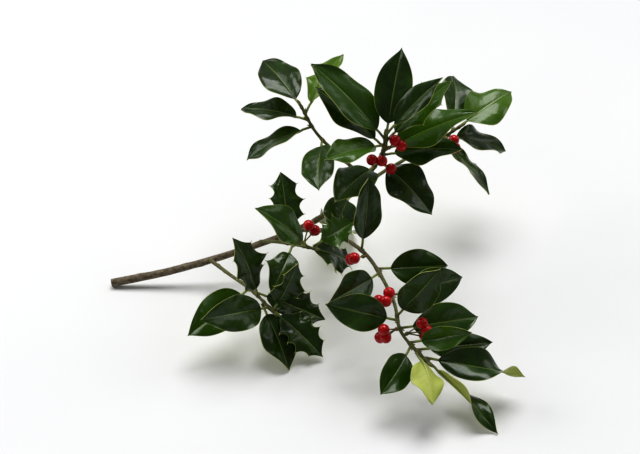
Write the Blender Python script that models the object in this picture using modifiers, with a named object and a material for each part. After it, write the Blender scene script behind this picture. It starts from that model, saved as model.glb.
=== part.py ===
"""A cut sprig of evergreen holly, lying on a surface.

One woody stem carries five side twigs. Each twig ends in a tuft of leathery leaves, and clusters of
berries on short stalks sit in the leaf axils. Lengths in the tables are millimetres, and MM turns them
into metres. +Z is up, +X is to the right and +Y is away from the viewer.
"""

import math

import bmesh
import bpy
from mathutils import Matrix, Vector

MM = 0.001

# Leaves
LEAF_THICKNESS = 0.6
PETIOLE_LENGTH = 8.0
PETIOLE_HALF_WIDTH = 0.9
TIP_HALF_WIDTH = 0.3
ACROSS_SEGMENTS = 4
PLAIN_STATIONS = 8
WIDEST_AT = 0.43
TIP_TAPER = 1.0
SPINE_BAY_DEPTH = 0.3
SPINE_WAVE = 0.13
PUFF = 0.1
FACES_UP = 0.9

# Wood
WOOD_SAMPLES_PER_SPAN = 4
TWIG_START = 6.0
FIT_GAP = 0.35

# Berries
BERRY_RADIUS = 4.3
STALK_RADIUS = 0.65
KNOT_RADIUS = 1.5
TURNED_STEPS = 10

# The sprig is turned and moved by these, so that it rests on its lowest points above the origin.
REST_TILT_X = 1.28
REST_TILT_Y = 0.26
REST_SHIFT = (48.15, -49.35, 1.7)

# name: (radius at the start, radius at the tip, points along the middle)
WOOD = {
    "main_stem": (3.4, 1.5, [
        (-208, 82, -1), (-160, 83, 9), (-105, 86, 25), (-54, 94, 42), (-20, 106, 62),
        (-3, 108, 86), (2, 96, 109), (2, 84, 132),
    ]),
    "front_twig": (1.9, 1.2, [
        (-66, 92, 38), (-42, 64, 56), (-16, 28, 62), (1, -10, 50), (5, -40, 43), (22, -66, 36),
    ]),
    "left_twig": (1.7, 1.1, [(-132, 84, 18), (-118, 56, 26), (-100, 26, 32), (-84, 0, 31)]),
    "middle_twig": (1.6, 1.1, [(-92, 89, 30), (-82, 70, 44), (-68, 50, 56), (-52, 32, 65)]),
    "right_twig": (1.7, 1.1, [(-22, 105, 60), (6, 130, 64), (42, 148, 74), (68, 150, 92)]),
    "back_twig": (1.6, 1.1, [(-11, 107, 74), (-28, 118, 86), (-47, 126, 104), (-60, 128, 130)]),
}

# (name, wood, distance back from its tip, clock angle, opening angle,
#  blade length, width, bend, fold, spines on each side, roll, twist)
# The clock angle is as seen by someone who faces the wood's tip, from 0 at the top. The opening angle is
# from the wood's own direction. Bend turns the leaf's tip back and down, fold lifts its two halves, roll
# turns the whole leaf about its midrib, and twist turns its tip the other way. All are degrees.
LEAVES = [
    ("leaf_top_01", "main_stem", 2, 52, 50, 50, 21, 18, 16, 1, 0, 0),
    ("leaf_top_02", "main_stem", 7, 10, 52, 58, 29, 24, 10, 0, 0, 14),
    ("leaf_top_03", "main_stem", 11, -48, 58, 70, 34, 22, 12, 0, 0, -12),
    ("leaf_top_04", "main_stem", 14, 52, 58, 58, 31, 20, 12, 3, 0, 0),
    ("leaf_top_05", "main_stem", 19, -115, 58, 48, 25, 20, 18, 1, 0, 0),
    ("leaf_top_06", "main_stem", 24, -45, 64, 60, 30, 20, 12, 0, 0, 0),
    ("leaf_top_07", "main_stem", 29, 80, 62, 66, 34, 18, 16, 0, 0, 15),
    ("leaf_top_08", "main_stem", 37, 100, 62, 52, 30, 26, 14, 1, 0, 0),
    ("leaf_top_09", "main_stem", 46, 160, 75, 50, 34, 26, 10, 0, 0, -10),
    ("leaf_top_10", "main_stem", 54, -68, 82, 54, 30, 30, 12, 1, 0, 0),

    ("leaf_right_01", "right_twig", 9, 75, 65, 50, 32, 30, 12, 0, 0, 0),
    ("leaf_right_02", "right_twig", 3, 115, 35, 50, 34, 20, 8, 0, 0, 20),
    ("leaf_right_03", "right_twig", 15, 160, 58, 52, 26, 24, 12, 0, 0, -25),
    ("leaf_right_04", "right_twig", 22, -150, 70, 50, 28, 26, 12, 2, 0, 0),

    ("leaf_stem_01", "main_stem", 118, 148, 70, 66, 32, 8, 12, 0, 0, 10),
    ("leaf_stem_02", "main_stem", 86, -60, 112, 48, 28, 20, 12, 0, 0, 0),

    ("leaf_front_01", "front_twig", 13, 80, 58, 48, 20, 20, 14, 1, 0, 0),
    ("leaf_front_02", "front_twig", 4, 88, 45, 66, 27, 20, 18, 0, 0, 150),
    ("leaf_front_03", "front_twig", 10, -60, 24, 38, 26, -35, 12, 0, 180, 0),
    ("leaf_front_04", "front_twig", 1, 132, 22, 62, 22, 12, 18, 0, -90, -150),
    ("leaf_front_05", "front_twig", 18, -95, 60, 37, 25, 20, 14, 0, 0, -25),
    ("leaf_front_06", "front_twig", 20, 36, 50, 40, 19, 10, 24, 1, 0, 0),
    ("leaf_front_07", "front_twig", 36, 92, 88, 54, 29, 20, 10, 0, 0, 12),
    ("leaf_front_08", "front_twig", 43, -62, 86, 48, 27, 24, 12, 1, 0, 0),
    ("leaf_front_09", "front_twig", 47, 24, 82, 50, 27, 20, 12, 0, 0, -15),
    ("leaf_front_10", "front_twig", 66, 85, 85, 50, 27, 24, 12, 0, 0, 0),
    ("leaf_front_11", "front_twig", 112, 12, 95, 48, 25, 14, 16, 0, 0, 0),
    ("leaf_front_12", "front_twig", 86, -75, 70, 44, 26, 20, 14, 1, 0, 0),
    ("leaf_front_13", "front_twig", 90, 80, 65, 44, 28, 20, 14, 0, 0, 0),

    ("leaf_left_01", "left_twig", 3, 15, 72, 40, 26, 20, 12, 4, 0, 0),
    ("leaf_left_02", "left_twig", 8, -65, 80, 56, 28, 24, 16, 1, 0, 15),
    ("leaf_left_03", "left_twig", 15, -162, 22, 46, 30, 20, 12, 0, 0, 20),
    ("leaf_left_04", "left_twig", 7, 135, 28, 44, 31, 24, 12, 5, 0, 0),
    ("leaf_left_05", "left_twig", 23, -15, 80, 56, 31, 24, 14, 4, 0, 0),
    ("leaf_left_06", "left_twig", 28, 112, 45, 48, 32, 20, 12, 5, 0, 0),
    ("leaf_left_07", "left_twig", 34, -88, 68, 58, 30, 24, 12, 0, 0, -15),

    ("leaf_middle_01", "middle_twig", 3, 45, 38, 29, 27, 20, 12, 5, 0, 0),
    ("leaf_middle_02", "middle_twig", 9, -33, 80, 54, 28, 26, 14, 1, 0, -20),
    ("leaf_middle_03", "middle_twig", 14, 125, 85, 46, 33, 24, 12, 5, 0, 0),
    ("leaf_middle_04", "middle_twig", 26, -112, 62, 38, 30, 26, 12, 2, 0, 0),
    ("leaf_middle_05", "middle_twig", 34, 20, 95, 46, 31, 26, 12, 4, 0, 0),

    ("leaf_back_01", "back_twig", 3, -115, 60, 56, 31, 28, 12, 0, 0, 0),
    ("leaf_back_02", "back_twig", 9, -40, 60, 46, 28, 26, 12, 3, 0, 0),
    ("leaf_back_03", "back_twig", 15, -160, 60, 48, 26, 26, 12, 1, 0, 0),
    ("leaf_back_04", "back_twig", 22, 165, 80, 48, 25, 26, 12, 1, 0, 0),
    ("leaf_back_05", "back_twig", 36, 82, 96, 48, 30, 22, 12, 1, 0, 0),
]

# (name, wood, distance back from its tip, clock angle, [(clock, opening, stalk length) of each berry])
BERRIES = [
    ("berries_top_upper", "main_stem", 22, 118, [(100, 14, 8), (122, 40, 9)]),
    ("berries_top_lower", "main_stem", 40, -150, [(-140, 30, 7), (-95, 50, 9), (170, 60, 9)]),
    ("berries_front_left", "front_twig", 35, -70, [(-90, 60, 7), (-60, 75, 9), (-120, 90, 9)]),
    ("berries_front_right", "front_twig", 29, 75, [(66, 62, 10), (48, 82, 9), (84, 50, 9)]),
    ("berries_front_rear", "front_twig", 60, -40, [(-15, 85, 7), (-62, 78, 8), (-36, 60, 9)]),
    ("berries_front_upper", "front_twig", 105, -80, [(-85, 95, 6), (-60, 75, 8)]),
    ("berries_right", "right_twig", 16, -95, [(-80, 60, 8), (-115, 75, 8)]),
    ("berries_middle", "middle_twig", 15, 40, [(30, 80, 9), (65, 80, 8)]),
]


def smooth_route(points, samples):
    """Points along a Catmull-Rom curve through the given ones."""
    knots = [Vector(p) for p in points]
    knots = [2 * knots[0] - knots[1]] + knots + [2 * knots[-1] - knots[-2]]
    route = []
    for a, b, c, d in zip(knots, knots[1:], knots[2:], knots[3:]):
        for i in range(samples):
            u = i / samples
            route.append(0.5 * (
                2 * b + (c - a) * u + (2 * a - 5 * b + 4 * c - d) * u**2 + (3 * b - 3 * c + d - a) * u**3
            ))
    return route + [knots[-2]]


def wood_frame(name, back):
    """(place, direction, up, right, radius) on a piece of wood, at a distance back from its tip."""
    first, last, points = WOOD[name]
    route = smooth_route(points, WOOD_SAMPLES_PER_SPAN)
    lengths = [(b - a).length for a, b in zip(route, route[1:])]
    left = back
    index = len(lengths) - 1
    while left > lengths[index] and index > 0:
        left -= lengths[index]
        index -= 1
    ahead = (route[index + 1] - route[index]).normalized()
    place = route[index + 1] - ahead * left
    up = Vector((0, 0, 1))
    up = (up - up.dot(ahead) * ahead).normalized()
    radius = last + (first - last) * back / sum(lengths)
    return place, ahead, up, up.cross(ahead), radius


def away(frame, clock, opening):
    """The unit direction that leaves the wood at a clock angle, opened from the wood's own direction."""
    _, ahead, up, right, _ = frame
    clock, opening = math.radians(clock), math.radians(opening)
    side = math.cos(clock) * up + math.sin(clock) * right
    return math.cos(opening) * ahead + math.sin(opening) * side


def half_width(t, width, spines):
    """Half the blade's width at t, 0 at its base and 1 at its tip. The bays between spines are hollow."""
    base_taper = TIP_TAPER * WIDEST_AT / (1 - WIDEST_AT)
    tallest = WIDEST_AT**base_taper * (1 - WIDEST_AT) ** TIP_TAPER
    plain = width / 2 * t**base_taper * (1 - t) ** TIP_TAPER / tallest
    if spines > 1:
        bay = t * spines % 1
        plain *= 1 - SPINE_BAY_DEPTH * 4 * bay * (1 - bay)
    return max(plain, TIP_HALF_WIDTH)


def blade_point(leaf, s, t):
    """A point of the leaf's middle surface, in the leaf's own frame: x across, y along, z out of its face.
    s runs from one margin, -1, to the other, 1. t is as in half_width, and negative along the petiole."""
    length, width, bend, fold, spines, twist = leaf
    if t < 0:
        return Vector((s * PETIOLE_HALF_WIDTH, PETIOLE_LENGTH * (1 + t), 0))
    angle = math.radians(bend) * t
    reach = length * t * math.sin(angle) / angle if angle else length * t
    drop = length * t * (1 - math.cos(angle)) / angle if angle else 0
    half = half_width(t, width, spines)
    rise = half * (math.sin(math.radians(fold)) * abs(s) + PUFF * abs(s) * (1 - abs(s)))
    rise += SPINE_WAVE * half * s * s * math.cos(math.pi * max(spines, 2) * t + s)
    across = half * s * math.cos(math.radians(fold))
    x, z = Matrix.Rotation(math.radians(twist) * t * t, 2) @ Vector((across, rise))
    return Vector((x, PETIOLE_LENGTH + reach + z * math.sin(angle), z * math.cos(angle) - drop))


def leaf_matrix(wood, back, clock, opening, roll):
    """Places a leaf's own frame on the wood, its upper face towards the wood's tip and the light above."""
    frame = wood_frame(wood, back)
    along = away(frame, clock, opening)
    lit = frame[1] + FACES_UP * Vector((0, 0, 1))
    face = (lit - lit.dot(along) * along).normalized()
    face = Matrix.Rotation(math.radians(roll), 3, along) @ face
    clearance = (frame[4] + FIT_GAP) / max(math.sin(math.radians(opening)), 0.5)
    start = frame[0] + away(frame, clock, 90) * clearance
    columns = (along.cross(face), along, face, start)
    return Matrix([[column[i] for column in columns] for i in range(3)] + [[0, 0, 0, 1]])


def resting():
    """The matrix that lays the finished sprig down, in metres."""
    turn_x = Matrix.Rotation(math.radians(REST_TILT_X), 4, "X")
    turn_y = Matrix.Rotation(math.radians(REST_TILT_Y), 4, "Y")
    return Matrix.Scale(MM, 4) @ Matrix.Translation(REST_SHIFT) @ turn_x @ turn_y


def material(name, colour, roughness):
    made = bpy.data.materials.new(name)
    made.use_nodes = True
    shader = made.node_tree.nodes["Principled BSDF"]
    shader.inputs["Base Color"].default_value = (*colour, 1)
    shader.inputs["Roughness"].default_value = roughness
    shader.inputs["Metallic"].default_value = 0
    return made


def collection(name):
    made = bpy.data.collections.new(name)
    bpy.context.scene.collection.children.link(made)
    return made


def add(name, data, group, surface):
    """A named object for a mesh or curve, laid down with the whole sprig."""
    made = bpy.data.objects.new(name, data)
    data.materials.append(surface)
    made.matrix_world = resting()
    group.objects.link(made)
    return made


def add_leaf(row, group, surface):
    name, wood, back, clock, opening, length, width, bend, fold, spines, roll, twist = row
    leaf = (length, width, bend, fold, spines, twist)
    blade_stations = 2 * spines if spines > 2 else PLAIN_STATIONS
    stations = [-1, -0.3, 0.04] + [(i + 1) / blade_stations for i in range(blade_stations)]
    shape = bmesh.new()
    bmesh.ops.create_grid(shape, x_segments=ACROSS_SEGMENTS, y_segments=len(stations) - 1, size=1)
    place = leaf_matrix(wood, back, clock, opening, roll)
    for vertex in shape.verts:
        station = stations[round((vertex.co.y + 1) / 2 * (len(stations) - 1))]
        vertex.co = place @ blade_point(leaf, vertex.co.x, station)
    mesh = bpy.data.meshes.new(name)
    shape.to_mesh(mesh)
    shape.free()
    made = add(name, mesh, group, surface)
    solid = made.modifiers.new("thickness", "SOLIDIFY")
    solid.thickness = LEAF_THICKNESS
    solid.offset = 0
    return made


def add_wood(name, group, surface):
    first, last, points = WOOD[name]
    route = smooth_route(points, WOOD_SAMPLES_PER_SPAN)
    if name != "main_stem":
        route[0] = route[0] + TWIG_START * (route[1] - route[0]).normalized()
    curve = bpy.data.curves.new(name, "CURVE")
    curve.dimensions = "3D"
    curve.bevel_depth = 1
    curve.bevel_resolution = 2
    curve.use_fill_caps = True
    spline = curve.splines.new("POLY")
    spline.points.add(len(route) - 1)
    for i, point in enumerate(route):
        spline.points[i].co = (*point, 1)
        spline.points[i].radius = first + (last - first) * i / (len(route) - 1)
    return add(name, curve, group, surface)


def berry_profile(stalk):
    """(radius, height) from the stalk's foot to the berry's crown, for a berry on a straight stalk."""
    middle = stalk + BERRY_RADIUS
    round_part = [
        (BERRY_RADIUS * math.sin(a), middle - BERRY_RADIUS * math.cos(a))
        for a in (math.radians(d) for d in (20, 50, 80, 110, 140, 165))
    ]
    return [(0, 0), (STALK_RADIUS, 0), (STALK_RADIUS, stalk)] + round_part + [(0, middle + BERRY_RADIUS)]


def add_berry(name, start, direction, stalk, group, surface):
    """One berry with its stalk, as a turned shape."""
    profile = bmesh.new()
    rim = [profile.verts.new((radius, 0, height)) for radius, height in reversed(berry_profile(stalk))]
    for a, b in zip(rim, rim[1:]):
        profile.edges.new((a, b))
    mesh = bpy.data.meshes.new(name)
    profile.to_mesh(mesh)
    profile.free()
    made = add(name, mesh, group, surface)
    stand = direction.to_track_quat("Z", "Y").to_matrix().to_4x4()
    made.matrix_world = resting() @ Matrix.Translation(start) @ stand
    turned = made.modifiers.new("turned", "SCREW")
    turned.axis = "Z"
    turned.steps = turned.render_steps = TURNED_STEPS
    turned.use_merge_vertices = True
    turned.merge_threshold = 0.0001
    return made


def add_cluster(row, group, helpers, surface):
    """A cluster of berries whose stalks all spring from one knot at the foot of a leaf."""
    name, wood, back, clock, berries = row
    frame = wood_frame(wood, back)
    start = frame[0] + away(frame, clock, 90) * (frame[4] + FIT_GAP + KNOT_RADIUS)
    knot = bmesh.new()
    bmesh.ops.create_icosphere(knot, subdivisions=1, radius=KNOT_RADIUS)
    bmesh.ops.translate(knot, verts=knot.verts, vec=start)
    mesh = bpy.data.meshes.new(name)
    knot.to_mesh(mesh)
    knot.free()
    made = add(name, mesh, group, surface)
    for i, (berry_clock, opening, stalk) in enumerate(berries):
        direction = away(frame, berry_clock, opening)
        berry = add_berry(f"{name}_{i + 1}", start, direction, stalk, helpers, surface)
        berry.hide_render = True
        berry.display_type = "WIRE"
        joined = made.modifiers.new(f"berry_{i + 1}", "BOOLEAN")
        joined.operation = "UNION"
        joined.object = berry
    return made


def main():
    for old in list(bpy.data.objects):
        bpy.data.objects.remove(old)
    sprig = collection("holly_sprig")
    helpers = collection("berry_shapes")
    leaf_green = material("leaf_green", (0.02, 0.07, 0.015), 0.3)
    bark = material("bark", (0.12, 0.11, 0.04), 0.7)
    berry_red = material("berry_red", (0.55, 0.01, 0.02), 0.2)
    for name in WOOD:
        add_wood(name, sprig, bark)
    for row in LEAVES:
        add_leaf(row, sprig, leaf_green)
    for row in BERRIES:
        add_cluster(row, sprig, helpers, berry_red)


main()
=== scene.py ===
"""Looks for a cut sprig of evergreen holly: veined leaves, bark, berries, a pale floor and soft light.

The sprig's shape follows the CAD model's design, with the same names and numbers, and every CAD node is
replaced by one finer piece. Lengths are millimetres until resting() turns them into metres.
"""

import math
import random

import bmesh
import bpy
from mathutils import Matrix, Vector, noise


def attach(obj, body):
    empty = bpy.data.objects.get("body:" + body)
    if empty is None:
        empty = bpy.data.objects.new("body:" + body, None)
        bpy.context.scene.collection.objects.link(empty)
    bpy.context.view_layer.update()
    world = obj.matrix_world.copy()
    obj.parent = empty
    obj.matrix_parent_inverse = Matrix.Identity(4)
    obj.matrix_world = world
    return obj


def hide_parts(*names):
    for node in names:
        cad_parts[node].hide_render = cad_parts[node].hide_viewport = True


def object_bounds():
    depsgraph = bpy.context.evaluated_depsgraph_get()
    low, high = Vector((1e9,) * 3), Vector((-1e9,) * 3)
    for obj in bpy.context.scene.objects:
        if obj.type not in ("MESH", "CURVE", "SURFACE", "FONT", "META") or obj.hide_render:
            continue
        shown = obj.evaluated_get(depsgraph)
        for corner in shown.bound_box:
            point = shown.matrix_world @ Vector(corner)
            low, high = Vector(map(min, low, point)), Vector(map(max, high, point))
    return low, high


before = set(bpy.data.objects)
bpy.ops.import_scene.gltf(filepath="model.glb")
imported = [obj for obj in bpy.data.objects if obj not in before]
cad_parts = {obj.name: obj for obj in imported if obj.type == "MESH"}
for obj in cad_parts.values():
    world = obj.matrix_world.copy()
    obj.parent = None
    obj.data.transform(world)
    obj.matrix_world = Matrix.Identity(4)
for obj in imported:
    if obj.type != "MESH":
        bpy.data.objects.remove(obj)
cad_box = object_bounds()

MM = 0.001

# The leaf's design, as in the CAD model
PETIOLE_LENGTH = 8.0
TIP_HALF_WIDTH = 0.3
WIDEST_AT = 0.43
TIP_TAPER = 1.0
SPINE_BAY_DEPTH = 0.3
SPINE_WAVE = 0.13
PUFF = 0.1
FACES_UP = 0.9

# The leaf's detail. The veins leave the midrib at a slant, and curve towards the tip as they go.
ACROSS = 26
ALONG = 84
BLADE_THICKNESS = 0.45
BLADE_END = 0.985
TIP_POINT = 0.05
TIP_SPINE_START = 0.965
VEIN_PAIRS = 8
VEIN_SLANT = 0.2
VEIN_CURVE = 1.3
PUCKER = 0.09
PUCKER_PITCH = (3, 6)
UNEVENNESS = 1.3
UNEVENNESS_PITCH = (2.2, 3.5)
GRAIN_RANGE = 50
GROOVE = 0.3
GROOVE_WIDTH = 0.05
RIPPLE = 0.09
RIPPLE_WAVES = 3.1
MIDRIB_CROWDING = 0.4
PETIOLE_RADIUS = 0.95
PETIOLE_SIDES = 10
PETIOLE_STATIONS = [-1.15, -0.95, -0.6, -0.3, -0.1]
PETIOLE_FOOT_SWELLING = 1.25
MIDRIB_START = 0.03
MIDRIB_END = 0.94
MIDRIB_END_RADIUS = 0.15
MIDRIB_STEPS = 16
MIDRIB_TAPER = 1.6
MIDRIB_SINK = 0.85
SPINE_RADIUS = 0.33
SPINE_LENGTH = 1.9
SPINE_SIDES = 7
SPINE_LEAN_AHEAD = 0.45
SPINE_LEAN_UP = 0.2

# Leaves whose tone isn't left to chance. It goes from 0, dark, to 1, light, and to 2 in young leaves.
# Most of these tones are painted light: a lighter tone stands for the sheen on leaves that catch the
# light, and a darker one for shade. A tone near 2 is a young leaf's own colour.
LEAF_TONES_AND_PAINTED_LIGHT = {
    "leaf_top_04": 1.2,
    "leaf_top_05": 1.25,
    "leaf_top_07": 1.15,
    "leaf_right_02": 1.45,
    "leaf_front_06": 1.2,
    "leaf_middle_01": 1.25,
    "leaf_back_01": 0.1,
    "leaf_back_02": 1.8,
}

# Wood. Its bark's age goes up by one with each WOOD_AGE_LENGTH behind the tip.
WOOD_AGE_LENGTH = 100
WOOD_SAMPLES_PER_SPAN = 4
FINE_SAMPLES_PER_SPAN = 20
WOOD_SIDES = 18
FIT_GAP = 0.35
NODE_SWELLING = 0.45
NODE_LENGTH = 1.8
SCAR_SPACING = 12.0
SCAR_HEIGHT = 0.5
SCAR_HALF_WIDTH = 50
GOLDEN_ANGLE = 137.5
CUT_BARK_THICKNESS = 0.35
PITH_SHARE = 0.22
BARK_WANDER = 0.15
BARK_WANDER_PITCH = 0.12
END_BUD_SIZE = 1.9
SIDE_BUD_SIZE = 1.1
SIDE_BUD_AHEAD = 1.5
BUD_SIDES = 10

# Berries
BERRY_RADIUS = 4.3
STALK_RADIUS = 0.6
KNOT_RADIUS = 1.5
BERRY_SIDES = 36
BERRY_STATIONS = 19
BERRY_END_ANGLE = 4
BERRY_SQUATNESS = 0.97
CROWN_DEPTH = 0.35
CROWN_RADIUS = 0.9
STALK_SIDES = 10
KNOT_SIDES = 14
CALYX_SIDES = 24
SCAR_SIDES = 24

# Profiles of small turned parts, as (height, radius). The calyx is measured from the end of its stalk,
# and the dark scar from the berry's crown.
SPINE_PROFILE = [(-0.6, 0.8), (0, 1.0), (0.25, 0.72), (0.6, 0.4), (1, 0.06)]
BUD_PROFILE = [(-0.4, 0.45), (0, 0.55), (0.4, 0.6), (0.9, 0.5), (1.5, 0.3), (2.0, 0.05)]
KNOT_PROFILE = [(-2.2, 0.9), (-1.2, 1.3), (-0.4, 1.5), (0.5, 1.4), (1.1, 1.0), (1.5, 0.3)]
CALYX_PROFILE = [(-0.25, 0.5), (-0.1, 1.5), (0.25, 1.7), (0.4, 1.3)]
SCAR_PROFILE = [(-0.2, 0.7), (0.06, 0.75), (0.14, 0.5), (0.1, 0.1)]

# Lobes of turned parts, as (how many, how deep)
ROUND = (0, 0)
BUD_LOBES = (3, 0.06)
KNOT_LOBES = (3, 0.08)
CALYX_LOBES = (4, 0.22)
BERRY_LOBES = (4, 0.008)
SCAR_LOBES = (4, 0.2)

# A mark halfway: on a leaf's midrib, or a tone that is neither dark nor light
HALFWAY = 0.5

# The sprig is turned and moved by these, so that it rests on its lowest points above the origin.
REST_TILT_X = 1.28
REST_TILT_Y = 0.26
REST_SHIFT = (48.15, -49.35, 1.7)

# Edges sharper than this, in degrees, stay sharp in the shading
SHARP_ANGLE = 50

# Which of a piece's looks each face takes
UPPER, UNDER, MARGIN, STALK = range(4)
BARK, BUD, CUT_WOOD, PITH = range(4)
BERRY, BERRY_STALK, SCAR = range(3)

# Colours, as linear red, green, blue and opacity
DARK_LEAF = (0.012, 0.030, 0.001, 1)
LIGHT_LEAF = (0.040, 0.105, 0.004, 1)
CLOUDED_LEAF = (0.026, 0.070, 0.002, 1)
YOUNG_LEAF = (0.11, 0.20, 0.018, 1)
UPPER_VEINS = (0.05, 0.09, 0.015, 1)
UPPER_MIDRIB = (0.17, 0.23, 0.05, 1)
UPPER_EDGE = (0.30, 0.34, 0.08, 1)
DARK_UNDERSIDE = (0.34, 0.385, 0.08, 1)
LIGHT_UNDERSIDE = (0.43, 0.475, 0.115, 1)
CLOUDED_UNDERSIDE = (0.37, 0.42, 0.09, 1)
UNDERSIDE_VEINS = (0.46, 0.50, 0.16, 1)
UNDERSIDE_EDGE = (0.45, 0.50, 0.18, 1)
PETIOLE_FOOT = (0.10, 0.075, 0.025, 1)
MIDRIB_BELOW = (0.44, 0.48, 0.13, 1)
BARK_PORES = (0.34, 0.29, 0.18, 1)
BUD_TIP = (0.13, 0.07, 0.025, 1)
DARK_BERRY = (0.27, 0.001, 0.004, 1)
LIGHT_BERRY = (0.42, 0.002, 0.005, 1)
BRIGHT_BERRY = (0.48, 0.004, 0.006, 1)
BERRY_FOOT = (0.30, 0.006, 0.006, 1)
BERRY_DOTS = (0.85, 0.12, 0.06, 1)

# Pairs of colours that a surface wanders between
MARGIN_COLOURS = [(0.30, 0.34, 0.08, 1), (0.48, 0.46, 0.18, 1)]
PETIOLE_COLOURS = [(0.16, 0.22, 0.045, 1), (0.26, 0.30, 0.08, 1)]
YOUNG_BARK_COLOURS = [(0.075, 0.085, 0.022, 1), (0.13, 0.135, 0.04, 1)]
OLD_BARK_COLOURS = [(0.095, 0.07, 0.04, 1), (0.20, 0.17, 0.12, 1)]
CUT_WOOD_COLOURS = [(0.62, 0.55, 0.36, 1), (0.50, 0.42, 0.25, 1)]
PITH_COLOURS = [(0.13, 0.08, 0.03, 1), (0.25, 0.17, 0.08, 1)]
BUD_COLOURS = [(0.10, 0.13, 0.03, 1), (0.20, 0.22, 0.06, 1)]
BERRY_STALK_COLOURS = [(0.12, 0.15, 0.035, 1), (0.20, 0.12, 0.04, 1)]
SCAR_COLOURS = [(0.012, 0.006, 0.004, 1), (0.06, 0.025, 0.012, 1)]
PAPER_COLOURS = [(0.71, 0.71, 0.715, 1), (0.725, 0.725, 0.725, 1)]

# Most of a noise texture lies between these.
NOISE_LOW = 0.3
NOISE_HIGH = 0.7

# Studio, in metres. The camera's lens and sensor are in millimetres, and the overhead light's width is
# in degrees.
FLOOR_SIZE = 30.0
CAMERA_PLACE = (-0.062, -1.136, 0.890)
CAMERA_LENS = 106
CAMERA_SENSOR = 36
AIM_HEIGHT = 0.074
ROOM_COLOUR = (0.97, 0.98, 1.0, 1)
ROOM_STRENGTH = 0.22
OVERHEAD_PLACE = (0.15, 0.55, 1.5)
OVERHEAD_STRENGTH = 1.75
OVERHEAD_WIDTH = 38
# (name, place, size, power)
WINDOWS = [
    ("left_window", (-1.2, 0.5, 1.0), 0.9, 7),
    ("right_window", (1.3, 0.35, 1.0), 0.9, 3.5),
]

# name: (radius at the start, radius at the tip, points along the middle)
WOOD = {
    "main_stem": (3.4, 1.5, [
        (-208, 82, -1), (-160, 83, 9), (-105, 86, 25), (-54, 94, 42), (-20, 106, 62),
        (-3, 108, 86), (2, 96, 109), (2, 84, 132),
    ]),
    "front_twig": (1.9, 1.2, [
        (-66, 92, 38), (-42, 64, 56), (-16, 28, 62), (1, -10, 50), (5, -40, 43), (22, -66, 36),
    ]),
    "left_twig": (1.7, 1.1, [(-132, 84, 18), (-118, 56, 26), (-100, 26, 32), (-84, 0, 31)]),
    "middle_twig": (1.6, 1.1, [(-92, 89, 30), (-82, 70, 44), (-68, 50, 56), (-52, 32, 65)]),
    "right_twig": (1.7, 1.1, [(-22, 105, 60), (6, 130, 64), (42, 148, 74), (68, 150, 92)]),
    "back_twig": (1.6, 1.1, [(-11, 107, 74), (-28, 118, 86), (-47, 126, 104), (-60, 128, 130)]),
}

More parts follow.
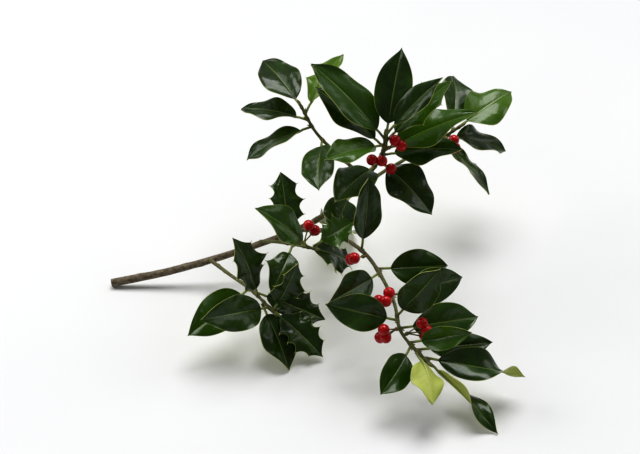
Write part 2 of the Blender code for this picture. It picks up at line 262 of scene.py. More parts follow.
# (name, wood, distance back from its tip, clock angle, opening angle,
#  blade length, width, bend, fold, spines on each side, roll, twist)
# The clock angle is as seen by someone who faces the wood's tip, from 0 at the top. The opening angle is
# from the wood's own direction. Bend turns the leaf's tip back and down, fold lifts its two halves, roll
# turns the whole leaf about its midrib, and twist turns its tip the other way. All are degrees.
LEAVES = [
    ("leaf_top_01", "main_stem", 2, 52, 50, 50, 21, 18, 16, 1, 0, 0),
    ("leaf_top_02", "main_stem", 7, 10, 52, 58, 29, 24, 10, 0, 0, 14),
    ("leaf_top_03", "main_stem", 11, -48, 58, 70, 34, 22, 12, 0, 0, -12),
    ("leaf_top_04", "main_stem", 14, 52, 58, 58, 31, 20, 12, 3, 0, 0),
    ("leaf_top_05", "main_stem", 19, -115, 58, 48, 25, 20, 18, 1, 0, 0),
    ("leaf_top_06", "main_stem", 24, -45, 64, 60, 30, 20, 12, 0, 0, 0),
    ("leaf_top_07", "main_stem", 29, 80, 62, 66, 34, 18, 16, 0, 0, 15),
    ("leaf_top_08", "main_stem", 37, 100, 62, 52, 30, 26, 14, 1, 0, 0),
    ("leaf_top_09", "main_stem", 46, 160, 75, 50, 34, 26, 10, 0, 0, -10),
    ("leaf_top_10", "main_stem", 54, -68, 82, 54, 30, 30, 12, 1, 0, 0),

    ("leaf_right_01", "right_twig", 9, 75, 65, 50, 32, 30, 12, 0, 0, 0),
    ("leaf_right_02", "right_twig", 3, 115, 35, 50, 34, 20, 8, 0, 0, 20),
    ("leaf_right_03", "right_twig", 15, 160, 58, 52, 26, 24, 12, 0, 0, -25),
    ("leaf_right_04", "right_twig", 22, -150, 70, 50, 28, 26, 12, 2, 0, 0),

    ("leaf_stem_01", "main_stem", 118, 148, 70, 66, 32, 8, 12, 0, 0, 10),
    ("leaf_stem_02", "main_stem", 86, -60, 112, 48, 28, 20, 12, 0, 0, 0),

    ("leaf_front_01", "front_twig", 13, 80, 58, 48, 20, 20, 14, 1, 0, 0),
    ("leaf_front_02", "front_twig", 4, 88, 45, 66, 27, 20, 18, 0, 0, 150),
    ("leaf_front_03", "front_twig", 10, -60, 24, 38, 26, -35, 12, 0, 180, 0),
    ("leaf_front_04", "front_twig", 1, 132, 22, 62, 22, 12, 18, 0, -90, -150),
    ("leaf_front_05", "front_twig", 18, -95, 60, 37, 25, 20, 14, 0, 0, -25),
    ("leaf_front_06", "front_twig", 20, 36, 50, 40, 19, 10, 24, 1, 0, 0),
    ("leaf_front_07", "front_twig", 36, 92, 88, 54, 29, 20, 10, 0, 0, 12),
    ("leaf_front_08", "front_twig", 43, -62, 86, 48, 27, 24, 12, 1, 0, 0),
    ("leaf_front_09", "front_twig", 47, 24, 82, 50, 27, 20, 12, 0, 0, -15),
    ("leaf_front_10", "front_twig", 66, 85, 85, 50, 27, 24, 12, 0, 0, 0),
    ("leaf_front_11", "front_twig", 112, 12, 95, 48, 25, 14, 16, 0, 0, 0),
    ("leaf_front_12", "front_twig", 86, -75, 70, 44, 26, 20, 14, 1, 0, 0),
    ("leaf_front_13", "front_twig", 90, 80, 65, 44, 28, 20, 14, 0, 0, 0),

    ("leaf_left_01", "left_twig", 3, 15, 72, 40, 26, 20, 12, 4, 0, 0),
    ("leaf_left_02", "left_twig", 8, -65, 80, 56, 28, 24, 16, 1, 0, 15),
    ("leaf_left_03", "left_twig", 15, -162, 22, 46, 30, 20, 12, 0, 0, 20),
    ("leaf_left_04", "left_twig", 7, 135, 28, 44, 31, 24, 12, 5, 0, 0),
    ("leaf_left_05", "left_twig", 23, -15, 80, 56, 31, 24, 14, 4, 0, 0),
    ("leaf_left_06", "left_twig", 28, 112, 45, 48, 32, 20, 12, 5, 0, 0),
    ("leaf_left_07", "left_twig", 34, -88, 68, 58, 30, 24, 12, 0, 0, -15),

    ("leaf_middle_01", "middle_twig", 3, 45, 38, 29, 27, 20, 12, 5, 0, 0),
    ("leaf_middle_02", "middle_twig", 9, -33, 80, 54, 28, 26, 14, 1, 0, -20),
    ("leaf_middle_03", "middle_twig", 14, 125, 85, 46, 33, 24, 12, 5, 0, 0),
    ("leaf_middle_04", "middle_twig", 26, -112, 62, 38, 30, 26, 12, 2, 0, 0),
    ("leaf_middle_05", "middle_twig", 34, 20, 95, 46, 31, 26, 12, 4, 0, 0),

    ("leaf_back_01", "back_twig", 3, -115, 60, 56, 31, 28, 12, 0, 0, 0),
    ("leaf_back_02", "back_twig", 9, -40, 60, 46, 28, 26, 12, 3, 0, 0),
    ("leaf_back_03", "back_twig", 15, -160, 60, 48, 26, 26, 12, 1, 0, 0),
    ("leaf_back_04", "back_twig", 22, 165, 80, 48, 25, 26, 12, 1, 0, 0),
    ("leaf_back_05", "back_twig", 36, 82, 96, 48, 30, 22, 12, 1, 0, 0),
]

# (name, wood, distance back from its tip, clock angle, [(clock, opening, stalk length) of each berry])
BERRIES = [
    ("berries_top_upper", "main_stem", 22, 118, [(100, 14, 8), (122, 40, 9)]),
    ("berries_top_lower", "main_stem", 40, -150, [(-140, 30, 7), (-95, 50, 9), (170, 60, 9)]),
    ("berries_front_left", "front_twig", 35, -70, [(-90, 60, 7), (-60, 75, 9), (-120, 90, 9)]),
    ("berries_front_right", "front_twig", 29, 75, [(66, 62, 10), (48, 82, 9), (84, 50, 9)]),
    ("berries_front_rear", "front_twig", 60, -40, [(-15, 85, 7), (-62, 78, 8), (-36, 60, 9)]),
    ("berries_front_upper", "front_twig", 105, -80, [(-85, 95, 6), (-60, 75, 8)]),
    ("berries_right", "right_twig", 16, -95, [(-80, 60, 8), (-115, 75, 8)]),
    ("berries_middle", "middle_twig", 15, 40, [(30, 80, 9), (65, 80, 8)]),
]


def smooth_route(points, samples):
    """Points along a Catmull-Rom curve through the given ones."""
    knots = [Vector(p) for p in points]
    knots = [2 * knots[0] - knots[1]] + knots + [2 * knots[-1] - knots[-2]]
    route = []
    for a, b, c, d in zip(knots, knots[1:], knots[2:], knots[3:]):
        for i in range(samples):
            u = i / samples
            square = (2 * a - 5 * b + 4 * c - d) * u**2
            cube = (3 * b - 3 * c + d - a) * u**3
            route.append(0.5 * (2 * b + (c - a) * u + square + cube))
    return route + [knots[-2]]


def wood_spot(name, back):
    """(place, direction, up, right, radius) on a piece of wood, at a distance back from its tip."""
    first, last, points = WOOD[name]
    route = smooth_route(points, WOOD_SAMPLES_PER_SPAN)
    lengths = [(b - a).length for a, b in zip(route, route[1:])]
    left = back
    index = len(lengths) - 1
    while left > lengths[index] and index > 0:
        left -= lengths[index]
        index -= 1
    ahead = (route[index + 1] - route[index]).normalized()
    place = route[index + 1] - ahead * left
    up = Vector((0, 0, 1))
    up = (up - up.dot(ahead) * ahead).normalized()
    radius = last + (first - last) * back / sum(lengths)
    return place, ahead, up, up.cross(ahead), radius


def away(spot, clock, opening):
    """The unit direction that leaves the wood at a clock angle, opened from the wood's own direction."""
    _, ahead, up, right, _ = spot
    clock, opening = math.radians(clock), math.radians(opening)
    side = math.cos(clock) * up + math.sin(clock) * right
    return math.cos(opening) * ahead + math.sin(opening) * side


def half_width(t, width, spines):
    """Half the blade's width at t, 0 at its base and 1 at its tip. It is hollow between spines."""
    base_taper = TIP_TAPER * WIDEST_AT / (1 - WIDEST_AT)
    tallest = WIDEST_AT**base_taper * (1 - WIDEST_AT) ** TIP_TAPER
    plain = width / 2 * t**base_taper * (1 - t) ** TIP_TAPER / tallest
    if spines > 1:
        bay = t * spines % 1
        plain *= 1 - SPINE_BAY_DEPTH * 4 * bay * (1 - bay)
    return max(plain * (1 - math.exp((t - 1) / TIP_POINT)), TIP_HALF_WIDTH)


def blade_point(leaf, s, t, lift=0):
    """A point of the leaf's middle surface: x across it, y along it and z out of its face.

    s runs from one margin, -1, to the other, 1. t is as in half_width, and negative along the petiole.
    """
    length, width, bend, fold, spines, twist = leaf
    if t < 0:
        return Vector((s * PETIOLE_RADIUS, PETIOLE_LENGTH * (1 + t), lift))
    angle = math.radians(bend) * t
    reach = length * t * math.sin(angle) / angle if angle else length * t
    drop = length * t * (1 - math.cos(angle)) / angle if angle else 0
    half = half_width(t, width, spines)
    rise = half * (math.sin(math.radians(fold)) * abs(s) + PUFF * abs(s) * (1 - abs(s)))
    rise += SPINE_WAVE * half * s * s * math.cos(math.pi * max(spines, 2) * t + s)
    across = half * s * math.cos(math.radians(fold))
    x, z = Matrix.Rotation(math.radians(twist) * t * t, 2) @ Vector((across, rise + lift))
    return Vector((x, PETIOLE_LENGTH + reach + z * math.sin(angle), z * math.cos(angle) - drop))


def leaf_matrix(wood, back, clock, opening, roll):
    """Puts a leaf on the wood, its upper face towards the wood's tip and the light above."""
    spot = wood_spot(wood, back)
    place, ahead, _, _, radius = spot
    along = away(spot, clock, opening)
    lit = ahead + FACES_UP * Vector((0, 0, 1))
    face = (lit - lit.dot(along) * along).normalized()
    face = Matrix.Rotation(math.radians(roll), 3, along) @ face
    clearance = (radius + FIT_GAP) / max(math.sin(math.radians(opening)), 0.5)
    start = place + away(spot, clock, 90) * clearance
    columns = (along.cross(face), along, face, start)
    return Matrix([[column[i] for column in columns] for i in range(3)] + [[0, 0, 0, 1]])


def resting():
    """The matrix that lays the finished sprig down, in metres."""
    turn_x = Matrix.Rotation(math.radians(REST_TILT_X), 4, "X")
    turn_y = Matrix.Rotation(math.radians(REST_TILT_Y), 4, "Y")
    return Matrix.Scale(MM, 4) @ Matrix.Translation(REST_SHIFT) @ turn_x @ turn_y


def heading(route, i):
    """The unit direction of a route at its point i."""
    return (route[min(i + 1, len(route) - 1)] - route[max(i - 1, 0)]).normalized()


class Shape:
    """Points and faces of one piece. Each point has two marks, which the materials read as UV."""

    def __init__(self):
        self.points = []
        self.marks = []
        self.faces = []
        self.surfaces = []

    def row(self, points, marks):
        """Adds points and gives their numbers."""
        first = len(self.points)
        self.points += points
        self.marks += marks
        return list(range(first, len(self.points)))

    def skin(self, rows, surface, closed=False):
        """Faces between each row of points and the next."""
        for a, b in zip(rows, rows[1:]):
            for i in range(0 if closed else 1, len(a)):
                self.faces.append((a[i - 1], a[i], b[i], b[i - 1]))
                self.surfaces.append(surface)

    def cap(self, row, surface):
        """One face that closes a row."""
        self.faces.append(tuple(row))
        self.surfaces.append(surface)

    def tube(self, centres, radii, sides, surface, up, marks, lobes=ROUND):
        """A closed tube along the centres."""
        count, depth = lobes
        rows = []
        for i, (centre, radius, mark) in enumerate(zip(centres, radii, marks)):
            ahead = heading(centres, i)
            up = (up - up.dot(ahead) * ahead).normalized()
            side = ahead.cross(up)
            ring = []
            for j in range(sides):
                angle = 2 * math.pi * j / sides
                reach = radius * (1 + depth * math.cos(count * angle))
                ring.append(centre + reach * (math.cos(angle) * side + math.sin(angle) * up))
            rows.append(self.row(ring, [mark] * sides))
        self.skin(rows, surface, closed=True)
        self.cap(rows[0], surface)
        self.cap(rows[-1], surface)


def turned(shape, start, direction, profile, sides, surface, tone=HALFWAY, lobes=ROUND):
    """A tube turned about a straight axis. The profile is (height, radius) from start."""
    centres = [start + direction * height for height, _ in profile]
    radii = [radius for _, radius in profile]
    marks = [(tone, i / (len(profile) - 1)) for i in range(len(profile))]
    shape.tube(centres, radii, sides, surface, direction.orthogonal(), marks, lobes)


def make_piece(shape, node, looks, tone=HALFWAY):
    """Turns a shape into the piece that stands for one CAD node."""
    mesh = bpy.data.meshes.new(f"{node}_detail")
    mesh.from_pydata(shape.points, [], shape.faces)
    mesh.polygons.foreach_set("material_index", shape.surfaces)
    layer = mesh.uv_layers.new(name="marks")
    for loop in mesh.loops:
        layer.data[loop.index].uv = shape.marks[loop.vertex_index]
    tones = mesh.attributes.new("tone", "FLOAT", "POINT")
    tones.data.foreach_set("value", [tone] * len(mesh.vertices))
    solid = bmesh.new()
    solid.from_mesh(mesh)
    bmesh.ops.recalc_face_normals(solid, faces=solid.faces)
    solid.to_mesh(mesh)
    solid.free()
    mesh.transform(resting())
    mesh.shade_smooth()
    mesh.set_sharp_from_angle(angle=math.radians(SHARP_ANGLE))
    for look in looks:
        mesh.materials.append(look)
    piece = bpy.data.objects.new(f"{node}_detail", mesh)
    bpy.context.scene.collection.objects.link(piece)
    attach(piece, "root")
    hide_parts(node)


def leaf_relief(s, t, grain):
    """How far a blade is lifted: less at its midrib, more between veins, and unevenly everywhere."""
    reach = abs(s)
    along = (t - VEIN_SLANT * reach**VEIN_CURVE) * VEIN_PAIRS + (0.5 if s < 0 else 0)
    puckered = Vector((PUCKER_PITCH[0] * s, PUCKER_PITCH[1] * t, grain + GRAIN_RANGE))
    strength = PUCKER * (1 + noise.noise(puckered))
    puffed = strength * (1 - math.cos(2 * math.pi * along)) * 2 * reach * (1 - reach)
    groove = -GROOVE * math.exp(-((reach / GROOVE_WIDTH) ** 2)) * (1 - t)
    wavy = Vector((UNEVENNESS_PITCH[0] * s, UNEVENNESS_PITCH[1] * t, grain))
    return puffed + groove + UNEVENNESS * reach * noise.noise(wavy)


def ripple(s, t, grain, width):
    """A slow wave of the margins, different on every leaf and nothing at the base and tip."""
    wave = math.sin(math.pi * (RIPPLE_WAVES * t + 0.9 * grain) + 1.5 * s)
    return RIPPLE * width * s * s * wave * math.sin(math.pi * t)


def blade_rows(shape, leaf, grain, side):
    """The points of one side of a blade, 1 for its upper side and -1 for its underside.

    They stand closer together near the midrib.
    """
    rows = []
    for i in range(ALONG + 1):
        t = BLADE_END * i / ALONG
        points = []
        marks = []
        for j in range(ACROSS + 1):
            x = 2 * j / ACROSS - 1
            s = x * (1 - MIDRIB_CROWDING + MIDRIB_CROWDING * abs(x))
            lift = leaf_relief(s, t, grain) + ripple(s, t, grain, leaf[1])
            points.append(blade_point(leaf, s, t, lift + side * BLADE_THICKNESS / 2))
            marks.append((0.5 + s / 2, t))
        rows.append(shape.row(points, marks))
    return rows


def add_blade(shape, leaf, grain):
    """The two faces of a blade, and the rim around them."""
    upper = blade_rows(shape, leaf, grain, 1)
    under = blade_rows(shape, leaf, grain, -1)
    shape.skin(upper, UPPER)
    shape.skin(under, UNDER)
    rims = []
    for rows in (upper, under):
        left = [row[0] for row in rows]
        right = [row[-1] for row in rows]
        rims.append(rows[0] + right[1:] + rows[-1][-2::-1] + left[-2:0:-1])
    shape.skin(rims, MARGIN, closed=True)


def add_midrib(shape, leaf, grain):
    """The petiole, which sinks below the blade near its base and runs on under it as the midrib."""
    run = MIDRIB_END - MIDRIB_START
    stations = list(PETIOLE_STATIONS)
    stations += [MIDRIB_START + run * i / MIDRIB_STEPS for i in range(MIDRIB_STEPS + 1)]
    centres = []
    radii = []
    for t in stations:
        sunk = min(max((t + 0.3) / 0.4, 0), 1)
        taper = (1 - max(t, 0)) ** MIDRIB_TAPER
        radius = MIDRIB_END_RADIUS + (PETIOLE_RADIUS - MIDRIB_END_RADIUS) * taper
        lift = leaf_relief(0, t, grain) if t > 0 else 0
        centres.append(blade_point(leaf, 0, t, lift - MIDRIB_SINK * radius * sunk))
        radii.append(radius * (PETIOLE_FOOT_SWELLING if t < -1 else 1))
    marks = [(HALFWAY, t) for t in stations]
    shape.tube(centres, radii, PETIOLE_SIDES, STALK, Vector((0, 0, 1)), marks)


def add_spine(shape, foot, direction, length):
    """A sharp, slightly hollow-sided needle."""
    places = [(height * length, radius * SPINE_RADIUS) for height, radius in SPINE_PROFILE]
    turned(shape, foot, direction, places, SPINE_SIDES, MARGIN)


def add_spines(shape, leaf, grain):
    """One spine at the tip, and one at each point of the margin."""
    _, width, _, _, spines, _ = leaf
    foot = blade_point(leaf, 0, TIP_SPINE_START, leaf_relief(0, TIP_SPINE_START, grain))
    tip = blade_point(leaf, 0, 1)
    add_spine(shape, foot, (tip - foot).normalized(), (tip - foot).length)
    for k in range(1, spines):
        for side in (-1, 1):
            t = k / spines
            lift = leaf_relief(side, t, grain) + ripple(side, t, grain, width)
            foot = blade_point(leaf, side, t, lift)
            inner = blade_point(leaf, 0.8 * side, t, lift)
            ahead = blade_point(leaf, 0, t + 0.05) - blade_point(leaf, 0, t)
            direction = (foot - inner).normalized() + SPINE_LEAN_AHEAD * ahead.normalized()
            direction += Vector((0, 0, SPINE_LEAN_UP))
            add_spine(shape, foot, direction.normalized(), SPINE_LENGTH)


def add_leaf(row, looks):
    """A blade, its petiole and midrib, and its spines."""
    name, wood, back, clock, opening, length, width, bend, fold, spines, roll, twist = row
    leaf = (length, width, bend, fold, spines, twist)
    grain = random.Random(name).uniform(0, GRAIN_RANGE)
    shape = Shape()
    add_blade(shape, leaf, grain)
    add_midrib(shape, leaf, grain)
    add_spines(shape, leaf, grain)
    place = leaf_matrix(wood, back, clock, opening, roll)
    shape.points = [place @ point for point in shape.points]
    # A tone set above paints sheen and shade into the leaf's green; the other leaves' tones vary at
    # random.
    tone = LEAF_TONES_AND_PAINTED_LIGHT.get(name, random.Random(name + "tone").random())
    make_piece(shape, name, looks, tone)


def leaf_feet(wood):
    """(distance back from the tip, clock angle) of each leaf on a piece of wood."""
    return [(row[2], row[3]) for row in LEAVES if row[1] == wood]


def scar_places(wood, length):
    """Where older leaves have dropped: evenly behind the last leaf, each turned from the one before."""
    oldest = max(back for back, _ in leaf_feet(wood))
    count = int((length - oldest - SCAR_SPACING) / SCAR_SPACING)
    return [(oldest + SCAR_SPACING * (i + 1), GOLDEN_ANGLE * i) for i in range(max(count, 0))]


def angle_between(a, b):
    """The difference of two angles in degrees, from 0 to 180."""
    return abs((a - b + 180) % 360 - 180)


def bark_swelling(back, clock, feet, scars):
    """How far the bark stands out at a place, from its leaf nodes and old leaf scars."""
    height = 0
    for foot, _ in feet:
        height += NODE_SWELLING * math.exp(-(((back - foot) / NODE_LENGTH) ** 2))
    for foot, facing in scars:
        along = (back - foot) / NODE_LENGTH
        around = angle_between(clock, facing) / SCAR_HALF_WIDTH
        height += SCAR_HEIGHT * math.exp(-(along**2 + around**2))
    return height


def add_bud(shape, start, direction, size):
    """A closed pointed bud."""
    places = [(height * size, radius * size) for height, radius in BUD_PROFILE]
    turned(shape, start, direction, places, BUD_SIDES, BUD, lobes=BUD_LOBES)


def add_cut_end(shape, ring, centre):
    """A clean cut: a thin ring of bark, pale wood and a dark pith."""
    points = [shape.points[i] for i in ring]
    radius = (points[0] - centre).length
    rows = [ring]
    for reach in (radius - CUT_BARK_THICKNESS, PITH_SHARE * radius):
        inner = [centre + (point - centre) * reach / radius for point in points]
        rows.append(shape.row(inner, [(HALFWAY, reach / radius)] * len(inner)))
    shape.skin(rows[:2], BARK, closed=True)
    shape.skin(rows[1:], CUT_WOOD, closed=True)
    shape.cap(rows[2], PITH)


def wood_ring(name, centre, ahead, back, length, feet, scars):
    """The points around a piece of wood at a centre on its middle."""
    first, last, _ = WOOD[name]
    up = (Vector((0, 0, 1)) - ahead.z * ahead).normalized()
    right = up.cross(ahead)
    ring = []
    for j in range(WOOD_SIDES):
        clock = 360 * j / WOOD_SIDES
        turn = math.radians(clock)
        radius = last + (first - last) * back / length + bark_swelling(back, clock, feet, scars)
        grain = centre * BARK_WANDER_PITCH + Vector((3 * math.cos(turn), j, 0))
        radius += BARK_WANDER * (noise.noise(grain) - 1)
        ring.append(centre + radius * (math.cos(turn) * up + math.sin(turn) * right))
    return ring


def add_buds(shape, name, feet):
    """A bud at the wood's tip, and one above each leaf's foot."""
    place, ahead, _, _, radius = wood_spot(name, 0)
    add_bud(shape, place, ahead, END_BUD_SIZE * radius)
    for back, clock in feet:
        spot = wood_spot(name, back)
        place, ahead, _, _, radius = spot
        side = away(spot, clock, 90)
        start = place + side * radius + ahead * SIDE_BUD_AHEAD
        add_bud(shape, start, (side + ahead).normalized(), SIDE_BUD_SIZE)


def add_wood(name, looks):
    """A stem or twig with the nodes, scars and buds of its leaves."""
    route = smooth_route(WOOD[name][2], FINE_SAMPLES_PER_SPAN)
    steps = [(b - a).length for a, b in zip(route, route[1:])]
    length = sum(steps)
    feet = leaf_feet(name)
    scars = scar_places(name, length)
    shape = Shape()
    rows = []
    back = length
    for i, (centre, step) in enumerate(zip(route, steps + [0])):
        ring = wood_ring(name, centre, heading(route, i), back, length, feet, scars)
        rows.append(shape.row(ring, [(HALFWAY, back / WOOD_AGE_LENGTH)] * WOOD_SIDES))
        back -= step
    shape.skin(rows, BARK, closed=True)
    shape.cap(rows[-1], BARK)
    if name == "main_stem":
        add_cut_end(shape, rows[0], route[0])
    else:
        shape.cap(rows[0], BARK)
    add_buds(shape, name, feet)
    make_piece(shape, name, looks)


def berry_profile(stalk):
    """(height, radius) of a round berry, with a small hollow at its crown."""
    profile = []
    for i in range(BERRY_STATIONS):
        turn = (180 - 2 * BERRY_END_ANGLE) * i / (BERRY_STATIONS - 1)
        angle = math.radians(BERRY_END_ANGLE + turn)
        radius = BERRY_RADIUS * math.sin(angle)
        height = stalk + BERRY_RADIUS * (1 - BERRY_SQUATNESS * math.cos(angle))
        if angle > math.pi / 2:
            height -= CROWN_DEPTH * math.exp(-((radius / CROWN_RADIUS) ** 2))
        profile.append((height, radius))
    return profile


def add_berry(shape, start, direction, stalk, tone):
    """A berry on its stalk, with the calyx behind it and the dark scar on its crown."""
    thickness = [(-0.6, 1.15), (0.5, 1.0), (stalk * 0.5, 0.85), (stalk * 0.85, 0.95), (stalk + 0.2, 1.5)]
    places = [(height, share * STALK_RADIUS) for height, share in thickness]
    turned(shape, start, direction, places, STALK_SIDES, BERRY_STALK, tone)
    calyx = [(stalk + height, radius) for height, radius in CALYX_PROFILE]
    turned(shape, start, direction, calyx, CALYX_SIDES, BERRY_STALK, tone, CALYX_LOBES)
    turned(shape, start, direction, berry_profile(stalk), BERRY_SIDES, BERRY, tone, BERRY_LOBES)
    crown = stalk + (1 + BERRY_SQUATNESS) * BERRY_RADIUS - CROWN_DEPTH
    scar = [(crown + height, radius) for height, radius in SCAR_PROFILE]
    turned(shape, start, direction, scar, SCAR_SIDES, SCAR, tone, SCAR_LOBES)


def add_cluster(row, looks):
    """Berries on stalks that meet in one knot beside the wood."""
    name, wood, back, clock, berries = row
    spot = wood_spot(wood, back)
    place, _, _, _, radius = spot
    side = away(spot, clock, 90)
    start = place + side * (radius + FIT_GAP + KNOT_RADIUS)
    chance = random.Random(name)
    shape = Shape()
    turned(shape, start, side, KNOT_PROFILE, KNOT_SIDES, BERRY_STALK, lobes=KNOT_LOBES)
    for berry_clock, opening, stalk in berries:
        add_berry(shape, start, away(spot, berry_clock, opening), stalk, chance.random())
    make_piece(shape, name, looks)


class Look:
    """A material, with short ways to add nodes to it."""

    def __init__(self, name, **constants):
        self.material = bpy.data.materials.new(name)
        self.material.use_nodes = True
        self.tree = self.material.node_tree
        self.shader = self.tree.nodes["Principled BSDF"]
        for words, value in constants.items():
            self.shader.inputs[words.replace("_", " ")].default_value = value

    def node(self, kind, *values, output=0, **settings):
        """Adds a node and gives its output. Its sockets take the values in order, and None skips one."""
        made = self.tree.nodes.new(f"ShaderNode{kind}")
        for setting, value in settings.items():
            setattr(made, setting, value)
        for socket, value in zip(made.inputs, values):
            if isinstance(value, bpy.types.NodeSocket):
                self.tree.links.new(value, socket)
            elif value is not None:
                socket.default_value = value
        return made.outputs[output]

    def math(self, operation, *values):
        """The result of one arithmetic operation."""
        return self.node("Math", *values, operation=operation)

    def ramp(self, value, start, end, low=0.0, high=1.0):
        """Goes smoothly from low to high while value goes from start to end."""
        return self.node("MapRange", value, start, end, low, high, interpolation_type="SMOOTHSTEP")

    def mix(self, factor, first, second):
        """The first colour where the factor is 0, and the second where it is 1."""
        values = (factor, None, None, None, None, None, first, second)
        return self.node("Mix", *values, output=2, data_type="RGBA")

    def mark(self):
        """The two marks of a point."""
        both = self.tree.nodes.new("ShaderNodeSeparateXYZ")
        self.tree.links.new(self.node("UVMap", uv_map="marks"), both.inputs[0])
        return both.outputs[0], both.outputs[1]

    def place(self):
        """Where a point is in the piece, in metres."""
        return self.node("TexCoord", output=3)

    def noise(self, scale, detail=3.0, roughness=0.55):
        """Cloudy variation from 0 to 1. A larger scale is finer."""
        return self.node("TexNoise", self.place(), None, scale, detail, roughness)

    def cells(self, scale, feature="F1"):
        """The distance to the middle of the nearest cell, or to its edge. A larger scale is finer."""
        return self.node("TexVoronoi", self.place(), None, scale, feature=feature)

    def wander(self, scale, low=0.0, high=1.0):
        """A value that drifts from low to high and back."""
        return self.ramp(self.noise(scale), NOISE_LOW, NOISE_HIGH, low, high)

    def patches(self, scale, colours):
        """Soft patches of two colours."""
        return self.mix(self.wander(scale), *colours)

    def bump(self, height, depth):
        """Raises the surface by depth metres where height is 1."""
        made = self.tree.nodes.new("ShaderNodeBump")
        made.inputs["Distance"].default_value = depth
        self.tree.links.new(height, made.inputs["Height"])
        self.tree.links.new(made.outputs[0], self.shader.inputs["Normal"])

    def paint(self, colour, roughness):
        """Sets the colour and roughness of the surface."""
        self.tree.links.new(colour, self.shader.inputs["Base Color"])
        self.tree.links.new(roughness, self.shader.inputs["Roughness"])


def blade_marks(look):
    """(distance from the midrib, 1 at the margin; distance along, 1 at the tip; the leaf's tone)"""
    across, along = look.mark()
    reach = look.math("ABSOLUTE", look.math("MULTIPLY_ADD", across, 2.0, -1.0))
    return reach, along, look.node("Attribute", attribute_name="tone", output=2)


def vein_mask(look, reach, along):
    """1 on a leaf's side veins and 0 between them, fading towards the margin."""
    slant = look.math("MULTIPLY", look.math("POWER", reach, VEIN_CURVE), VEIN_SLANT)
    turns = look.math("MULTIPLY", look.math("SUBTRACT", along, slant), 2 * math.pi * VEIN_PAIRS)
    on_vein = look.ramp(look.math("COSINE", turns), 0.9, 1.0)
    return look.math("MULTIPLY", on_vein, look.ramp(reach, 0.25, 0.9, 1.0, 0.0))


def upper_look():
    """Dark waxy green, with a pale midrib, faint veins and a thin yellow-green margin."""
    look = Look("leaf_upper", Specular_IOR_Level=0.3, Coat_Weight=0.3, Coat_Roughness=0.13)
    reach, along, tone = blade_marks(look)
    # The tone picks the green, so on leaves with a set tone this carries painted sheen and shade.
    green = look.mix(look.math("POWER", tone, 3.0), DARK_LEAF, LIGHT_LEAF)
    green = look.mix(look.ramp(look.noise(70.0), 0.35, 0.75, 0.0, 0.7), green, CLOUDED_LEAF)
    green = look.mix(look.ramp(tone, 1.0, 2.0), green, YOUNG_LEAF)
    green = look.mix(look.math("MULTIPLY", vein_mask(look, reach, along), 0.25), green, UPPER_VEINS)
    green = look.mix(look.ramp(reach, 0.012, 0.045, 0.8, 0.0), green, UPPER_MIDRIB)
    green = look.mix(look.ramp(reach, 0.965, 0.995, 0.0, 0.8), green, UPPER_EDGE)
    look.paint(green, look.wander(160.0, 0.26, 0.38))
    cells = look.ramp(look.cells(620.0, "DISTANCE_TO_EDGE"), 0.0, 0.25)
    look.bump(look.math("MULTIPLY_ADD", look.noise(900.0), 0.4, cells), 0.00003)
    return look.material


def under_look():
    """Matt pale yellow-green, with a lighter net of veins."""
    look = Look("leaf_underside", Specular_IOR_Level=0.4)
    reach, along, tone = blade_marks(look)
    green = look.mix(tone, DARK_UNDERSIDE, LIGHT_UNDERSIDE)
    green = look.mix(look.ramp(look.noise(90.0), 0.35, 0.75), green, CLOUDED_UNDERSIDE)
    green = look.mix(look.math("MULTIPLY", vein_mask(look, reach, along), 0.6), green, UNDERSIDE_VEINS)
    green = look.mix(look.ramp(reach, 0.93, 0.99, 0.0, 0.8), green, UNDERSIDE_EDGE)
    look.paint(green, look.wander(200.0, 0.45, 0.6))
    look.bump(look.ramp(look.cells(500.0, "DISTANCE_TO_EDGE"), 0.0, 0.2), 0.00005)
    return look.material


def margin_look():
    """The hard pale rim and spines of a leaf."""
    look = Look("leaf_margin")
    look.paint(look.patches(300.0, MARGIN_COLOURS), look.wander(400.0, 0.35, 0.5))
    return look.material


def leaf_stalk_look():
    """Petioles: yellow-green, browner where they meet the wood and paler under the blade."""
    look = Look("leaf_stalk")
    _, along = look.mark()
    green = look.patches(200.0, PETIOLE_COLOURS)
    green = look.mix(look.ramp(along, -1.0, -0.3, 0.8, 0.0), green, PETIOLE_FOOT)
    green = look.mix(look.ramp(along, 0.0, 0.3), green, MIDRIB_BELOW)
    look.paint(green, look.wander(300.0, 0.38, 0.55))
    look.bump(look.noise(700.0), 0.00006)
    return look.material


def bark_look():
    """Olive-green on young wood and grey-brown on old, uneven and with raised pale pores."""
    look = Look("holly_bark", Specular_IOR_Level=0.35)
    _, back = look.mark()
    age = look.math("MULTIPLY_ADD", look.noise(60.0), 0.8, back)
    young = look.patches(250.0, YOUNG_BARK_COLOURS)
    old = look.patches(320.0, OLD_BARK_COLOURS)
    brown = look.mix(look.ramp(age, 0.6, 2.0), young, old)
    pore = look.ramp(look.cells(330.0), 0.10, 0.22, 1.0, 0.0)
    brown = look.mix(look.math("MULTIPLY", pore, 0.7), brown, BARK_PORES)
    look.paint(brown, look.wander(400.0, 0.55, 0.8))
    look.bump(look.math("ADD", look.noise(900.0, 5.0), look.math("MULTIPLY", pore, 0.8)), 0.0002)
    return look.material


def cut_wood_look():
    """Fresh pale wood with faint growth rings."""
    look = Look("cut_wood")
    _, reach = look.mark()
    rings = look.math("SINE", look.math("MULTIPLY", reach, 60.0))
    pale = look.mix(look.ramp(rings, -1.0, 1.0), *CUT_WOOD_COLOURS)
    look.paint(pale, look.wander(800.0, 0.6, 0.8))
    look.bump(look.noise(1500.0), 0.0001)
    return look.material


def pith_look():
    """The soft brown core of the wood."""
    look = Look("pith")
    look.paint(look.patches(900.0, PITH_COLOURS), look.wander(900.0, 0.7, 0.9))
    return look.material


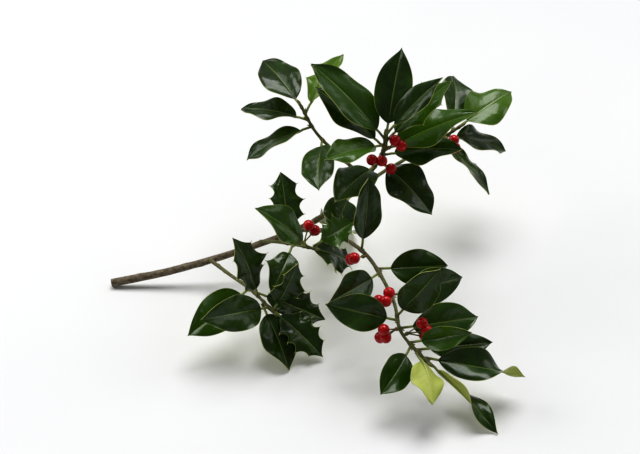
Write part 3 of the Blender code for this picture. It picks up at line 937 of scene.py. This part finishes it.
def bud_look():
    """Small green buds with brown tips."""
    look = Look("bud")
    _, height = look.mark()
    green = look.mix(look.ramp(look.noise(700.0), 0.35, 0.65), *BUD_COLOURS)
    green = look.mix(look.ramp(height, 0.5, 1.0, 0.0, 0.8), green, BUD_TIP)
    look.paint(green, look.wander(500.0, 0.45, 0.6))
    look.bump(look.noise(900.0), 0.00008)
    return look.material


def berry_look():
    """Glossy red skin, a little different by the stalk, with faint fine dots."""
    look = Look("berry_skin", Specular_IOR_Level=0.3, Coat_Weight=0.2, Coat_Roughness=0.06)
    tone, height = look.mark()
    red = look.mix(tone, DARK_BERRY, LIGHT_BERRY)
    red = look.mix(look.ramp(look.noise(180.0), 0.3, 0.75), red, BRIGHT_BERRY)
    red = look.mix(look.ramp(height, 0.0, 0.3, 0.5, 0.0), red, BERRY_FOOT)
    red = look.mix(look.ramp(look.cells(1100.0), 0.05, 0.2, 0.25, 0.0), red, BERRY_DOTS)
    look.paint(red, look.wander(500.0, 0.16, 0.26))
    look.bump(look.noise(400.0), 0.00004)
    return look.material


def berry_stalk_look():
    """Green stalks, flushed with brown."""
    look = Look("berry_stalk")
    look.paint(look.patches(260.0, BERRY_STALK_COLOURS), look.wander(300.0, 0.45, 0.65))
    look.bump(look.noise(900.0), 0.00008)
    return look.material


def berry_scar_look():
    """The nearly black dot where the flower was."""
    look = Look("berry_scar")
    look.paint(look.patches(1500.0, SCAR_COLOURS), look.wander(900.0, 0.5, 0.8))
    return look.material


def floor_look():
    """Smooth white paper."""
    look = Look("white_paper", Specular_IOR_Level=0.2)
    look.paint(look.patches(3.0, PAPER_COLOURS), look.wander(40.0, 0.75, 0.85))
    return look.material


def add_floor():
    """A table much wider than the view."""
    mesh = bpy.data.meshes.new("floor")
    half = FLOOR_SIZE / 2
    corners = [(-half, -half, 0), (half, -half, 0), (half, half, 0), (-half, half, 0)]
    mesh.from_pydata(corners, [], [(0, 1, 2, 3)])
    mesh.materials.append(floor_look())
    floor = bpy.data.objects.new("floor", mesh)
    bpy.context.scene.collection.objects.link(floor)


def aim(made, place, target):
    """Puts a lamp or camera at a place, looking at the target."""
    made.location = place
    made.rotation_euler = (Vector(target) - Vector(place)).to_track_quat("-Z", "Y").to_euler()
    bpy.context.scene.collection.objects.link(made)


def add_studio(centre):
    """A pale room, one broad soft light from above and behind, and a window at each side."""
    world = bpy.data.worlds.new("studio")
    world.use_nodes = True
    background = world.node_tree.nodes["Background"]
    background.inputs["Color"].default_value = ROOM_COLOUR
    background.inputs["Strength"].default_value = ROOM_STRENGTH
    bpy.context.scene.world = world
    overhead = bpy.data.lights.new("overhead", "SUN")
    overhead.angle = math.radians(OVERHEAD_WIDTH)
    overhead.energy = OVERHEAD_STRENGTH
    aim(bpy.data.objects.new("overhead", overhead), OVERHEAD_PLACE, centre)
    for name, place, size, power in WINDOWS:
        window = bpy.data.lights.new(name, "AREA")
        window.shape = "SQUARE"
        window.size = size
        window.energy = power
        aim(bpy.data.objects.new(name, window), place, centre)
    add_floor()


def add_camera(centre):
    """Looks down on the sprig from the front, at the height of a person standing at a table."""
    camera = bpy.data.cameras.new("camera")
    camera.sensor_width = CAMERA_SENSOR
    camera.lens = CAMERA_LENS
    made = bpy.data.objects.new("camera", camera)
    aim(made, CAMERA_PLACE, centre)
    bpy.context.scene.camera = made


def main():
    """Builds every piece, the studio and the camera."""
    middle = (cad_box[0] + cad_box[1]) / 2
    leaf_looks = [upper_look(), under_look(), margin_look(), leaf_stalk_look()]
    wood_looks = [bark_look(), bud_look(), cut_wood_look(), pith_look()]
    berry_looks = [berry_look(), berry_stalk_look(), berry_scar_look()]
    for name in WOOD:
        add_wood(name, wood_looks)
    for row in LEAVES:
        add_leaf(row, leaf_looks)
    for row in BERRIES:
        add_cluster(row, berry_looks)
    add_studio(middle)
    add_camera(Vector((middle.x, middle.y, AIM_HEIGHT)))
    bpy.context.scene.view_settings.view_transform = "Standard"
    bpy.context.scene.view_settings.look = "High Contrast"


main()
